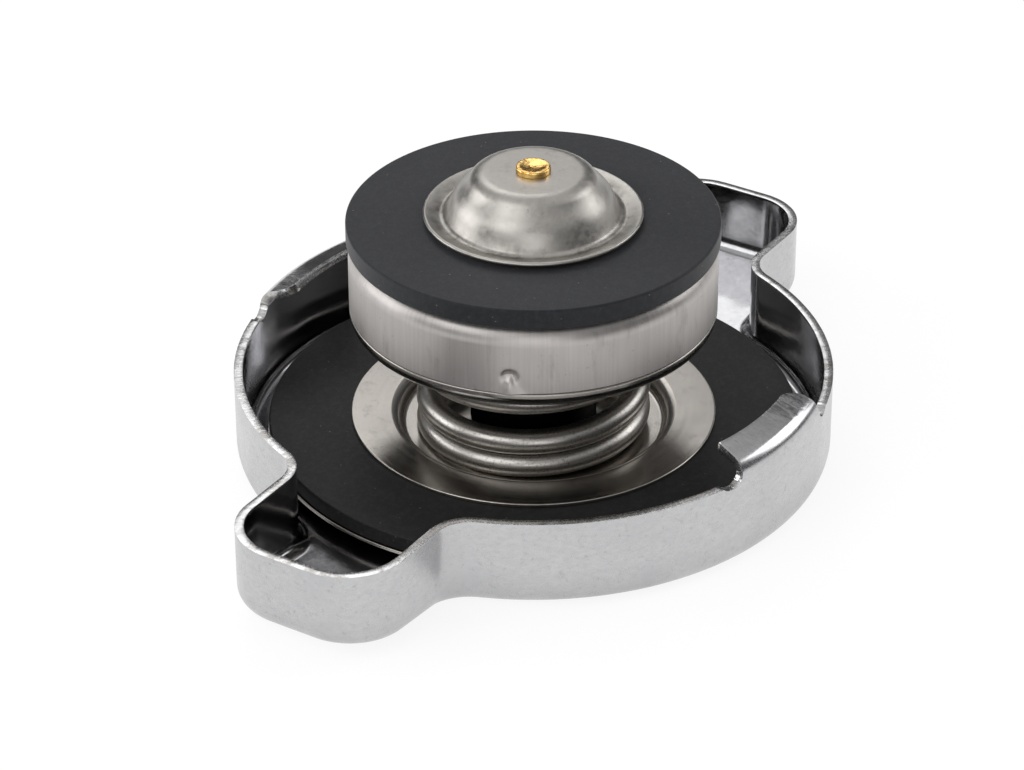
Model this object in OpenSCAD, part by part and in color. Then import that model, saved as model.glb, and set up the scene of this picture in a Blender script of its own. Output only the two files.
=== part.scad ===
// Radiator pressure cap, lying upside down on its crown with the valve assembly upwards.
// The origin is on the cap's axis at the crown's outer face. +X runs through an ear, +Z away from the crown.

/* [Shell] */
// Thickness of the shell's sheet
sheet_t = 1; // [0.7:0.05:1.3]
// Outer radius of the round body
body_r = 34.1; // [33:0.1:40]
// Height of the skirt's cut edge above the crown's outer face
rim_z = 10.8; // [9:0.1:14]
// Outer radius of the bend from the crown to the skirt
edge_r = 2.5; // [1.8:0.1:3.2]
// Depth to which the middle of the crown is pressed inwards
dish_depth = 1.2; // [1:0.1:2]
// Radius of the flat in the middle of that dish
dish_flat_r = 13.5; // [10:0.5:20]
// Width of the slope round the dish
dish_slope_w = 1.5; // [1:0.1:3]

/* [Ears] */
// Reach of an ear beyond the round body
ear_reach = 14.9; // [12:0.1:20]
// Half the width of an ear
ear_half_w = 10.2; // [9:0.1:13]
// Radius of the two corners at an ear's tip
ear_tip_r = 7.3; // [6:0.1:8.5]
// Radius of the fillet where an ear leaves the body
ear_neck_r = 4.2; // [3:0.1:6]
// Rise of an ear's outer face at its tip above the crown's outer face
ear_lift = 1.3; // [0.5:0.1:2.5]

/* [Locking tabs] */
// Angle that one tab spans round the axis, in degrees
tab_span = 27; // [20:1:50]
// Angle by which a tab's middle lies off the Y axis, in degrees
tab_lag = 2.5; // [0:0.5:5]
// Rise of the tab's upright foot above the skirt's cut edge
tab_rise = 0.4; // [0.2:0.1:3]
// Outer radius of the tab's fold
tab_bend_r = 2.2; // [1.6:0.1:3]
// Angle through which a tab is folded inwards, in degrees
tab_fold = 75; // [65:1:85]
// Radial width of a tab, from the shell's outer face to the tab's inner edge
tab_w = 3.9; // [3.2:0.1:6]
// Thinning of the tab's sheet on each face, from the fold
tab_thin = 0.05; // [0.03:0.01:0.1]
// Radius of the rounded corner at one end of a tab
tab_corner_r = 2.2; // [1:0.1:3]
// Width of the relief cut at each end of a tab
relief_w = 3.2; // [1:0.1:4]
// Depth of a relief cut below the skirt's cut edge
relief_depth = 0.5; // [0.3:0.1:3]

/* [Centre rivet] */
// Radius of the shank
rivet_r = 2.6; // [2:0.1:4]
// Radius of the outer head
rivet_head_r = 5.4; // [4.5:0.1:8]
// Thickness of the outer head
rivet_head_t = 0.9; // [0.6:0.05:0.95]
// Radius of the inner, upset head
rivet_upset_r = 4.4; // [4.1:0.1:6]
// Thickness of the upset head
rivet_upset_t = 1.2; // [0.6:0.1:2]
// Radial clearance on which the shell turns on the shank
swivel_clear = 0.05; // [0.02:0.01:0.1]
// Radial clearance of the clamped plates on a rivet or stem
rivet_fit = 0.03; // [0.01:0.01:0.1]

/* [Spring disc and upper gasket] */
// Gap between the skirt's inner face and the disc's edge
disc_gap = 2.5; // [1:0.1:5]
// Thickness of the springy disc
disc_t = 0.4; // [0.2:0.05:0.8]
// Inset of the gasket's edge from the disc's edge
gasket_inset = 0.3; // [0:0.1:1.5]
// Thickness of the gasket
gasket_t = 1.8; // [1.6:0.1:3]
// Gap between the gasket's hole and the bend in the spring seat
gasket_hole_gap = 0.2; // [0.1:0.1:1]

/* [Spring seat] */
// Outer radius of the clamping flange
seat_r = 20.9; // [20:0.1:24]
// Thickness of the sheet
seat_t = 0.5; // [0.3:0.05:0.6]
// Gap between the spring and the wall of the recess that locates it
seat_spring_gap = 1.7; // [0.5:0.1:2.5]
// Inner radius of the bend at the foot of the recess
seat_bend_r = 0.5; // [0.3:0.1:0.8]

/* [Pressure spring] */
// Diameter of the wire
spring_wire = 2.85; // [1.8:0.05:2.9]
// Radius of the coil at the middle of the wire
spring_r = 11.95; // [11:0.05:12.5]
// Height of the spring as fitted
spring_h = 14; // [12.5:0.1:20]
// Turns from the foot coil's full wire to the top coil's full wire
spring_turns = 3; // [2.5:0.05:3]
// Part of a turn that tapers to a flat ground tip at each end of a spring
ground_turn = 0.35; // [0.2:0.05:0.45]
// Gap between the coils that are closed at each end of a spring
coil_gap = 0.1; // [0.05:0.01:0.15]

/* [Stanchion] */
// Thickness of the drawn tube
stanchion_t = 0.6; // [0.4:0.05:0.8]
// Gap between the flared lip and the inside of the spring
lip_spring_gap = 1.9; // [0.3:0.1:2.5]
// Width of the flared lip beyond the tube
lip_w = 1.4; // [1:0.1:1.6]
// Inner radius of the bends at the tube's two ends
stanchion_bend_r = 0.3; // [0.2:0.05:0.35]
// Gap between the tube and the sliding plate's hole
slide_gap = 0.4; // [0.36:0.02:0.6]

/* [Pressure valve] */
// Outer radius of the pressure seal
seal_r = 21; // [20.5:0.1:24]
// Thickness of the pressure seal
seal_t = 2.35; // [1.5:0.05:4]
// Radius of the hole in the pressure seal
seal_hole_r = 8; // [7:0.1:8.8]
// Inset of the cup's wall from the seal's edge
cup_inset = 0.2; // [0:0.05:0.6]
// Thickness of the cup's sheet
cup_t = 0.6; // [0.4:0.05:0.8]
// Height of the cup from its lower edge to its flat face
cup_h = 8.3; // [6.5:0.05:12]
// Outer radius of the cup's shoulder
cup_shoulder_r = 2.4; // [1:0.1:2.5]
// Number of small crimps in the cup's lower edge
crimp_count = 3; // [2:1:6]
// Radius of the punch that makes a crimp
crimp_r = 2; // [0.8:0.1:2.2]
// Depth of a crimp
crimp_depth = 0.35; // [0.1:0.05:0.38]
// Thickness of the retainer plate
pan_t = 0.5; // [0.4:0.05:0.8]
// Height of the retainer plate below the cup's lower edge
pan_drop = 1.85; // [1.6:0.05:3]
// Depth to which the retainer plate's wall sits in the cup
pan_grip = 1.4; // [0.8:0.1:3]
// Outer radius of the retainer plate's rolled edge
pan_bend_r = 1.3; // [1:0.1:1.5]
// Inner radius of the bend from the retainer plate's floor to its wall
pan_corner_r = 0.8; // [0.4:0.1:1.2]
// Radial clearance of the retainer plate in the cup
pan_fit = 0.05; // [0.02:0.01:0.2]
// Number of flow holes in the cup's face
flow_count = 4; // [2:1:6]
// Radius of a flow hole
flow_r = 1.4; // [0.8:0.1:1.6]
// Radius of the circle on which the flow holes lie
flow_ring_r = 5.6; // [5.2:0.1:5.8]

/* [Vacuum valve] */
// Thickness of the plate's sheet
plate_t = 0.5; // [0.3:0.05:0.6]
// Radius of the ring where the plate touches the seal
plate_seat_r = 10.4; // [9.2:0.1:10.5]
// Outer radius of the turned-up brim
plate_brim_r = 12.35; // [11.6:0.05:14]
// Angle of the brim above the seal, in degrees
plate_brim_angle = 16; // [5:1:35]
// Height of the plate's flat top above the seal
plate_h = 5.8; // [4.5:0.1:8]
// Slope of the plate's cone, in degrees
plate_slope = 57; // [55:1:75]
// Middle radius of the bend round the flat top
plate_top_bend = 2; // [0.6:0.1:2.2]
// Middle radius of the bend that touches the seal
plate_foot_bend = 1; // [0.5:0.1:1.2]
// Radius of the brass stem
stem_r = 1.1; // [0.8:0.05:1.5]
// Radius of the stem's head
stem_head_r = 1.95; // [1.7:0.05:3]
// Thickness of the stem's head
stem_head_t = 0.7; // [0.4:0.05:1.5]
// Depth of the hollow in the stem's head
stem_dimple = 0.2; // [0.05:0.05:0.3]
// Length of the peened end below the washer
stem_peen_t = 0.4; // [0.3:0.05:1]
// Radial clearance of the stem in the cup's guide hole
stem_clear = 0.08; // [0.03:0.01:0.1]
// Diameter of the light spring's wire
light_wire = 0.5; // [0.3:0.05:0.7]
// Radius of the light spring's coil at the middle of the wire
light_r = 2.9; // [2.6:0.1:3.2]
// Height of the light spring as fitted
light_h = 7; // [5:0.1:7.3]
// Turns of the light spring between its ground ends
light_turns = 5; // [3:0.5:6]
// Radius of the washer under the light spring
washer_r = 3.9; // [3.8:0.1:5]
// Thickness of that washer
washer_t = 0.5; // [0.3:0.05:0.8]

/* [Hidden] */
$fn = 96;

// Small overlap that lets a cutter run clear of a face
over = 1;

// Places round the shell's outline
ear_tip = body_r + ear_reach;
tip_x = ear_tip - ear_tip_r;
tip_y = ear_half_w - ear_tip_r;
neck_y = ear_half_w + ear_neck_r;
neck_angle = asin(neck_y / (body_r + ear_neck_r));
neck_x = (body_r + ear_neck_r) * cos(neck_angle);
// Steps round a small curve of the outline, round a long side of the body, and over the crown's edge
curve_steps = 7;
body_steps = 40;
edge_steps = 5;
dish_r = dish_flat_r + dish_slope_w;
dish_shift = sheet_t * tan(atan(dish_depth / dish_slope_w) / 2);
// Radii between which the crown is flat, from over the dish's edge to short of the rolled edge
crown_hole_r = dish_r + over;
crown_flat_r = body_r - edge_r;
tab_foot_z = rim_z + tab_rise;
// Depth to which a tab's foot runs down into the skirt
tab_root = 1;
tab_in_r = body_r - tab_w;
// Height above a tab's foot that clears its inner edge
tab_clear_h = tab_bend_r + tab_w;
// Angle from a tab's middle to the middle of the relief cut at its end
relief_turn = tab_span / 2 + asin(relief_w / 2 / body_r);

// Heights of the stack on the crown
disc_z = dish_depth + sheet_t;
gasket_z = disc_z + disc_t;
seat_floor_z = gasket_z + seat_t;
gasket_top_z = gasket_z + gasket_t;
stanchion_floor_z = seat_floor_z + stanchion_t;
pan_z = seat_floor_z + spring_h;
lip_z = pan_z + pan_t;
cup_z = pan_z + pan_drop;
cup_face_z = cup_z + cup_h;
seal_top_z = cup_face_z + seal_t;
plate_top_z = seal_top_z + plate_h;
washer_z = cup_face_z - cup_t - light_h - washer_t;

// Radii of the stack
disc_r = body_r - sheet_t - disc_gap;
gasket_r = disc_r - gasket_inset;
recess_r = spring_r + spring_wire / 2 + seat_spring_gap;
seat_top_bend = gasket_t - seat_bend_r;
seat_flat_r = recess_r + seat_top_bend;
gasket_hole_r = seat_flat_r + gasket_hole_gap;
lip_r = spring_r - spring_wire / 2 - lip_spring_gap;
tube_r = lip_r - lip_w;
pan_hole_r = tube_r + slide_gap;
cup_r = seal_r - cup_inset;
pan_r = cup_r - cup_t - pan_fit;
// Angles of the foot coil's full wire and of the first crimp
spring_start = -147.5;
crimp_start = -155;

// Bend of a sheet in a profile, between two angles
module bend(at, outer, inner, from, to) {
    reach = 2 * outer;
    middle = (from + to) / 2;
    translate(at) intersection() {
        difference() {
            circle(outer);
            circle(inner);
        }
        polygon([[0, 0], for (a = [from, middle, to]) reach * [cos(a), sin(a)]]);
    }
}

// Points along an arc, both ends included
function arc(at, radius, from, to, steps = 10) = [
    for (i = [0 : steps])
        let (a = from + (to - from) * i / steps)
        at + radius * [cos(a), sin(a)]
];

// Rectangle of a profile between two radii and two heights
module band(r0, r1, z0, z1) {
    translate([r0, z0]) square([r1 - r0, z1 - z0]);
}

// Plain turned ring
module ring(r0, r1, z0, z1) {
    rotate_extrude() band(r0, r1, z0, z1);
}

// Points of the outline round a curve, each with its outward direction
function curve(at, radius, from, to, steps, side = 1) = [
    for (i = [0 : steps])
        let (a = from + (to - from) * i / steps, way = [cos(a), sin(a)])
        [at + radius * way, side * way]
];

// Half of the cap's outline: one ear and the long side of the body that follows it
function half_outline() =
    let (body_step = (180 - 2 * neck_angle) / body_steps) [
        each curve([neck_x, -neck_y], ear_neck_r, 180 - neck_angle, 90, curve_steps, -1),
        each curve([tip_x, -tip_y], ear_tip_r, -90, 0, curve_steps),
        each curve([tip_x, tip_y], ear_tip_r, 0, 90, curve_steps),
        each curve([neck_x, neck_y], ear_neck_r, 270, 180 + neck_angle, curve_steps, -1),
        each curve([0, 0], body_r, neck_angle + body_step, 180 - neck_angle - body_step, body_steps - 2)
    ];

// Rise of the sheet's outer face at a distance from the axis, which only the ears have
function lift(reach) = ear_lift * max(0, reach - crown_flat_r) / ear_reach;

// Loop of points round the sheet at one place of the outline: down the outside, in to the dish and back
function sheet_loop(place) =
    let (
        flat = place[0] - edge_r * place[1],
        way = flat / norm(flat),
        foot = [edge_r, edge_r + lift(norm(flat))],
        outside = [[0, rim_z], each arc(foot, edge_r, 180, 270, edge_steps)],
        inside = [each arc(foot, edge_r - sheet_t, 270, 180, edge_steps), [sheet_t, rim_z]]
    ) [
        for (p = outside) [each place[0] - p.x * place[1], p.y],
        for (r = [crown_flat_r - over, crown_hole_r]) [each r * way, 0],
        for (r = [crown_hole_r, crown_flat_r - over]) [each r * way, sheet_t],
        for (p = inside) [each place[0] - p.x * place[1], p.y]
    ];

// Crown ring, rolled edge and skirt, as one sheet that follows the outline
module pressed_sheet() {
    half = half_outline();
    loops = [for (place = half) sheet_loop(place), for (place = half) sheet_loop(-place)];
    count = len(loops);
    size = len(loops[0]);
    polyhedron(
        [for (loop = loops) each loop],
        [
            for (k = [0 : count - 1], i = [0 : size - 1])
                let (here = k * size, next = (k + 1) % count * size, j = (i + 1) % size)
                each [[here + i, next + i, next + j], [here + i, next + j, here + j]]
        ]
    );
}

// Dish in the middle of the crown, with the hole for the rivet; its edge is lapped into the crown ring
module crown_dish() {
    hole_r = rivet_r + swivel_clear;
    lap_r = crown_hole_r + over;
    rotate_extrude() polygon([
        [hole_r, dish_depth],
        [dish_flat_r, dish_depth],
        [dish_r, tab_thin],
        [lap_r, tab_thin],
        [lap_r, sheet_t - tab_thin],
        [dish_r + dish_shift, sheet_t - tab_thin],
        [dish_flat_r + dish_shift, dish_depth + sheet_t],
        [hole_r, dish_depth + sheet_t]
    ]);
}

// Locking tab that rises from the skirt and folds inwards, with one rounded corner
module locking_tab() {
    centre = [body_r - tab_bend_r, tab_foot_z];
    outer = tab_bend_r - tab_thin;
    inner = tab_bend_r - sheet_t + tab_thin;
    root_z = rim_z - tab_root;
    // End of the folded sheet's face that lies at a radius round the fold
    function face_end(radius) =
        let (p = centre + radius * [cos(tab_fold), sin(tab_fold)])
        [tab_in_r, p.y + (p.x - tab_in_r) / tan(tab_fold)];
    difference() {
        rotate(-relief_turn) rotate_extrude(angle = 2 * relief_turn) polygon([
            [centre.x + outer, root_z],
            each arc(centre, outer, 0, tab_fold),
            face_end(outer),
            face_end(inner),
            each arc(centre, inner, tab_fold, 0),
            [centre.x + inner, root_z]
        ]);
        rotate(tab_span / 2) translate([tab_in_r, 0, tab_foot_z]) linear_extrude(tab_clear_h)
            difference() {
                translate([-over, -tab_corner_r]) square(tab_corner_r + over);
                translate([tab_corner_r, -tab_corner_r]) circle(tab_corner_r);
            }
    }
}

// Round-bottomed relief cut that frees one end of a tab
module relief_cut() {
    translate([tab_in_r - over, 0, rim_z - relief_depth + relief_w / 2])
        rotate([90, 0, 90]) linear_extrude(tab_w + 2 * over) {
            circle(relief_w / 2);
            translate([-relief_w / 2, 0]) square([relief_w, tab_clear_h + relief_depth]);
        }
}

module cap_shell() {
    tab_turns = [-90 - tab_lag, 90 - tab_lag];
    color("silver") difference() {
        union() {
            pressed_sheet();
            crown_dish();
            for (turn = tab_turns) rotate(turn) locking_tab();
        }
        for (turn = tab_turns, side = [-1, 1]) rotate(turn + side * relief_turn) relief_cut();
    }
}

module centre_rivet() {
    head_z = dish_depth - rivet_head_t;
    chamfer = rivet_head_t / 2;
    color("gray") rotate_extrude() polygon([
        [0, head_z],
        [rivet_head_r - chamfer, head_z],
        [rivet_head_r, head_z + chamfer],
        [rivet_head_r, dish_depth],
        [rivet_r, dish_depth],
        [rivet_r, stanchion_floor_z],
        [rivet_upset_r, stanchion_floor_z],
        [rivet_upset_r, stanchion_floor_z + rivet_upset_t / 2],
        [rivet_upset_r - rivet_upset_t / 2, stanchion_floor_z + rivet_upset_t],
        [0, stanchion_floor_z + rivet_upset_t]
    ]);
}

module spring_disc() {
    color("gainsboro") ring(rivet_r + rivet_fit, disc_r, disc_z, gasket_z);
}

module upper_gasket() {
    color("#2a2a2e") ring(gasket_hole_r, gasket_r, gasket_z, gasket_top_z);
}

module spring_seat() {
    wall_z = seat_floor_z + seat_bend_r;
    color("#c4beb6") rotate_extrude() {
        band(rivet_r + rivet_fit, recess_r - seat_bend_r, gasket_z, seat_floor_z);
        bend([recess_r - seat_bend_r, wall_z], seat_bend_r + seat_t, seat_bend_r, 270, 360);
        bend([seat_flat_r, wall_z], seat_top_bend, seat_top_bend - seat_t, 90, 180);
        band(seat_flat_r, seat_r, gasket_top_z, gasket_top_z + seat_t);
    }
}

module stanchion() {
    bend_out = stanchion_bend_r + stanchion_t;
    foot_z = seat_floor_z + bend_out;
    neck_z = lip_z - stanchion_bend_r;
    color("#3c3c3f") rotate_extrude() {
        band(rivet_r + rivet_fit, tube_r - bend_out, seat_floor_z, stanchion_floor_z);
        bend([tube_r - bend_out, foot_z], bend_out, stanchion_bend_r, 270, 360);
        band(tube_r - stanchion_t, tube_r, foot_z, neck_z);
        bend([tube_r + stanchion_bend_r, neck_z], bend_out, stanchion_bend_r, 90, 180);
        band(tube_r + stanchion_bend_r, lip_r, lip_z, lip_z + stanchion_t);
    }
}

// Share of a coil's open pitch that is reached at a number of turns from its foot
function coil_open(turn, turns) =
    let (share = max(0, min(1, (turn - 1) / (turns - 2))))
    share * share * (3 - 2 * share);

// Coil spring standing on z0, with closed end coils that are ground flat
module coil_spring(radius, wire, z0, height, turns, steps, sides) {
    pitch = wire + coil_gap;
    open_rise = height - wire - turns * pitch;
    all_turns = turns + 2 * ground_turn;
    rings = ceil(all_turns * steps);
    points = [
        for (k = [0 : rings], i = [0 : sides - 1])
            let (
                turn = all_turns * k / rings - ground_turn,
                out = radius + wire / 2 * cos(360 * i / sides),
                rise = pitch * turn + open_rise * coil_open(turn, turns),
                z = rise + wire / 2 * (1 + sin(360 * i / sides))
            )
            [out * cos(360 * turn), out * sin(360 * turn), z0 + max(0, min(height, z))]
    ];
    sleeve = [
        for (k = [0 : rings - 1], i = [0 : sides - 1])
            let (a = k * sides + i, b = k * sides + (i + 1) % sides)
            [a, a + sides, b + sides, b]
    ];
    first_end = [for (i = [0 : sides - 1]) i];
    last_end = [for (i = [sides - 1 : -1 : 0]) rings * sides + i];
    polyhedron(points, concat(sleeve, [first_end, last_end]));
}

module pressure_spring() {
    color("#c4beb6") rotate(spring_start)
        coil_spring(spring_r, spring_wire, seat_floor_z, spring_h, spring_turns, steps = 28, sides = 12);
}

// The rolled edge is flush with the cup, whose lower edge rests on it
module retainer_plate() {
    wall_r = pan_r - pan_t;
    color("#c4beb6") rotate_extrude() polygon([
        [pan_hole_r, pan_z],
        each arc([cup_r - pan_bend_r, pan_z + pan_bend_r], pan_bend_r, 270, 360),
        [cup_r, cup_z],
        [pan_r, cup_z],
        [pan_r, cup_z + pan_grip],
        [wall_r, cup_z + pan_grip],
        each arc([wall_r - pan_corner_r, lip_z + pan_corner_r], pan_corner_r, 360, 270),
        [pan_hole_r, lip_z]
    ]);
}

module valve_cup() {
    shoulder_z = cup_face_z - cup_shoulder_r;
    color("#c9c4bc") difference() {
        rotate_extrude() {
            band(stem_r + stem_clear, cup_r - cup_shoulder_r, cup_face_z - cup_t, cup_face_z);
            bend([cup_r - cup_shoulder_r, shoulder_z], cup_shoulder_r, cup_shoulder_r - cup_t, 0, 90);
            band(cup_r - cup_t, cup_r, cup_z, shoulder_z);
        }
        for (i = [0 : flow_count - 1])
            rotate(360 * i / flow_count)
                translate([flow_ring_r, 0, cup_face_z - cup_t - over]) cylinder(r = flow_r, h = cup_t + 2 * over);
        for (i = [0 : crimp_count - 1])
            rotate(crimp_start + 360 * i / crimp_count)
                translate([cup_r + crimp_r - crimp_depth, 0, cup_z + crimp_r / 2]) sphere(crimp_r);
    }
}

module pressure_seal() {
    color("#2a2a2e") ring(seal_hole_r, seal_r, cup_face_z, seal_top_z);
}

module vacuum_plate() {
    half_t = plate_t / 2;
    foot = [plate_seat_r, seal_top_z + plate_foot_bend + half_t];
    // The cone's middle line runs between the two bends at the slope's angle
    cone_low = foot - plate_foot_bend * [sin(plate_slope), cos(plate_slope)];
    top_bend_z = plate_top_z - half_t - plate_top_bend;
    cone_rise = top_bend_z + plate_top_bend * cos(plate_slope) - cone_low.y;
    flat_r = cone_low.x - cone_rise / tan(plate_slope) - plate_top_bend * sin(plate_slope);
    // The brim runs on from the foot to the edge
    brim_low = foot + plate_foot_bend * [sin(plate_brim_angle), -cos(plate_brim_angle)];
    brim_edge = brim_low + (plate_brim_r - brim_low.x) * [1, tan(plate_brim_angle)];
    brim_side = half_t * [-sin(plate_brim_angle), cos(plate_brim_angle)];
    hole_r = stem_r + rivet_fit;
    color("#c9c4bc") rotate_extrude() polygon([
        [hole_r, plate_top_z],
        each arc([flat_r, top_bend_z], plate_top_bend + half_t, 90, 90 - plate_slope),
        each arc(foot, plate_foot_bend - half_t, 270 - plate_slope, 270 + plate_brim_angle),
        brim_edge + brim_side,
        brim_edge - brim_side,
        each arc(foot, plate_foot_bend + half_t, 270 + plate_brim_angle, 270 - plate_slope),
        each arc([flat_r, top_bend_z], plate_top_bend - half_t, 90 - plate_slope, 90),
        [hole_r, plate_top_z - plate_t]
    ]);
}

module vacuum_stem() {
    head_top_z = plate_top_z + stem_head_t;
    dimple_r = stem_head_r * 0.75;
    ball_r = (dimple_r * dimple_r + stem_dimple * stem_dimple) / (2 * stem_dimple);
    color("goldenrod") difference() {
        rotate_extrude() polygon([
            [0, washer_z - stem_peen_t],
            [stem_head_r, washer_z - stem_peen_t],
            [stem_head_r, washer_z],
            [stem_r, washer_z],
            [stem_r, plate_top_z],
            [stem_head_r, plate_top_z],
            [stem_head_r, head_top_z],
            [0, head_top_z]
        ]);
        translate([0, 0, head_top_z - stem_dimple + ball_r]) sphere(ball_r);
    }
}

module vacuum_spring() {
    color("lightgray")
        coil_spring(light_r, light_wire, washer_z + washer_t, light_h, light_turns, steps = 20, sides = 8);
}

module vacuum_washer() {
    color("gray") ring(stem_r + rivet_fit, washer_r, washer_z, washer_z + washer_t);
}

cap_shell();
centre_rivet();
spring_disc();
upper_gasket();
spring_seat();
stanchion();
pressure_spring();
retainer_plate();
valve_cup();
pressure_seal();
vacuum_plate();
vacuum_stem();
vacuum_spring();
vacuum_washer();
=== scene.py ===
"""A radiator pressure cap lying on its crown: fine meshes, materials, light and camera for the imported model.

Lengths are in millimetres and angles in degrees until a mesh is made. Blender's own units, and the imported
model's, are metres.
"""
import math
from collections import namedtuple
from itertools import accumulate

import bmesh
import bpy
from mathutils import Matrix, Vector, noise

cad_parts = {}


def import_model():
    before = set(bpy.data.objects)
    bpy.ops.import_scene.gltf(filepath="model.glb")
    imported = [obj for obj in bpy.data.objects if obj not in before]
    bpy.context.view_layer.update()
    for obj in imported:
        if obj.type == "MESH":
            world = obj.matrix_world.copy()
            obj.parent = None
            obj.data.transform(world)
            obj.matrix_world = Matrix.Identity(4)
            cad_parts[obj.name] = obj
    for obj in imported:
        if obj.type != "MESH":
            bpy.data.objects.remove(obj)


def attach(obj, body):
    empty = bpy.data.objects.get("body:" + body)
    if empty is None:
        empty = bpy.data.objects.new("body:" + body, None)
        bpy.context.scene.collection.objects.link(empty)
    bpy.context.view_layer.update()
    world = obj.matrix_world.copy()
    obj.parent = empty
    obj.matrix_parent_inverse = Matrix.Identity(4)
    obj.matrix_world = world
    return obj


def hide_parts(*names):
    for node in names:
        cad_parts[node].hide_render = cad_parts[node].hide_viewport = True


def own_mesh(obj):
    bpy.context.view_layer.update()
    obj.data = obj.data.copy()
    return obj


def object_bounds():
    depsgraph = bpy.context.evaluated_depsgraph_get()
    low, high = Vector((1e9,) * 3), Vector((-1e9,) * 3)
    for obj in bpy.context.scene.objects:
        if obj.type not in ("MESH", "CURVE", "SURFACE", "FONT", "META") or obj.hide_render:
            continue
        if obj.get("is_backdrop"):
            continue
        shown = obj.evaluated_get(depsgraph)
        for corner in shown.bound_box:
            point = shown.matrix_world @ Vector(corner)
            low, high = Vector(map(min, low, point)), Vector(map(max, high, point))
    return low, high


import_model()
cad_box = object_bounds()
MM = 0.001

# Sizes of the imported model: the shell

SHEET_T = 1.0
BODY_R = 34.1
RIM_Z = 10.8
EDGE_R = 2.5
CROWN_FLAT_R = BODY_R - EDGE_R
DISH_DEPTH = 1.2
DISH_FLAT_R = 13.5
DISH_R = 15.0
EAR_REACH = 14.9
EAR_TIP = BODY_R + EAR_REACH
EAR_HALF_W = 10.2
EAR_TIP_R = 7.3
EAR_NECK_R = 4.2
EAR_LIFT = 1.3
TAB_HALF_SPAN = 13.5
TAB_LAG = 2.5
TAB_FOOT_Z = RIM_Z + 0.4
TAB_BEND_R = 2.2
TAB_FOLD = 75
TAB_W = 3.9
TAB_IN_R = BODY_R - TAB_W
TAB_CORNER_R = 2.2
RELIEF_R = 1.6
RELIEF_DEPTH = 0.5
RELIEF_MID_Z = RIM_Z - RELIEF_DEPTH + RELIEF_R

# Thicknesses and heights of the pieces stacked in it

DISC_T, GASKET_T, SEAT_T, TUBE_T, PAN_T = 0.4, 1.8, 0.5, 0.6, 0.5
CUP_T, CUP_H, SEAL_T, WASHER_T = 0.6, 8.3, 2.35, 0.5
PLATE_T, PLATE_H, STEM_HEAD_T, STEM_PEEN_T = 0.5, 5.8, 0.7, 0.4
SPRING_H, LIGHT_H = 14.0, 7.0
PAN_DROP = 1.85
DISC_Z = DISH_DEPTH + SHEET_T
GASKET_Z = DISC_Z + DISC_T
SEAT_FLOOR_Z = GASKET_Z + SEAT_T
GASKET_TOP_Z = GASKET_Z + GASKET_T
TUBE_FLOOR_Z = SEAT_FLOOR_Z + TUBE_T
PAN_Z = SEAT_FLOOR_Z + SPRING_H
LIP_Z = PAN_Z + PAN_T
CUP_Z = PAN_Z + PAN_DROP
CUP_FACE_Z = CUP_Z + CUP_H
LIGHT_TOP_Z = CUP_FACE_Z - CUP_T
LIGHT_FOOT_Z = LIGHT_TOP_Z - LIGHT_H
WASHER_Z = LIGHT_FOOT_Z - WASHER_T
SEAL_TOP_Z = CUP_FACE_Z + SEAL_T
PLATE_TOP_Z = SEAL_TOP_Z + PLATE_H
STEM_TOP_Z = PLATE_TOP_Z + STEM_HEAD_T

# Radii, wires and angles of those pieces

RIVET_R, RIVET_HEAD_R, RIVET_UPSET_R = 2.6, 5.4, 4.4
SHELL_HOLE_R = RIVET_R + 0.05
CARRIER_HOLE_R = RIVET_R + 0.03
DISC_R, GASKET_R, GASKET_HOLE_R, SEAT_R = 30.6, 30.3, 16.575, 20.9
SPRING_R, SPRING_WIRE, SPRING_TURNS, SPRING_START = 11.95, 2.85, 3, -147.5
LIGHT_R, LIGHT_WIRE, LIGHT_TURNS = 2.9, 0.5, 5
COIL_GAP = 0.1
GROUND_TURN = 0.35
RECESS_R = 15.075
TUBE_R, LIP_R, PAN_HOLE_R = 7.225, 8.625, 7.625
SEAL_R, SEAL_HOLE_R = 21.0, 8.0
CUP_R = 20.8
CUP_IN_R = CUP_R - CUP_T
CUP_SHOULDER_R = 2.4
CRIMP_COUNT, CRIMP_START = 3, -155
PAN_R = CUP_IN_R - 0.05
PAN_GRIP = 1.4
PLATE_SEAT_R, PLATE_BRIM_R, PLATE_SLOPE, PLATE_BRIM_ANGLE = 10.4, 12.35, 57, 16
PLATE_TOP_BEND, PLATE_FOOT_BEND = 2.0, 1.0
STEM_R, STEM_HEAD_R, WASHER_R = 1.1, 1.95, 3.9
STEM_HOLE_R = STEM_R + 0.03
STEM_GUIDE_R = STEM_R + 0.08

# Materials

NOISE_LOW, NOISE_HIGH = 0.3, 0.7  # a noise pattern's usual range


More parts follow.
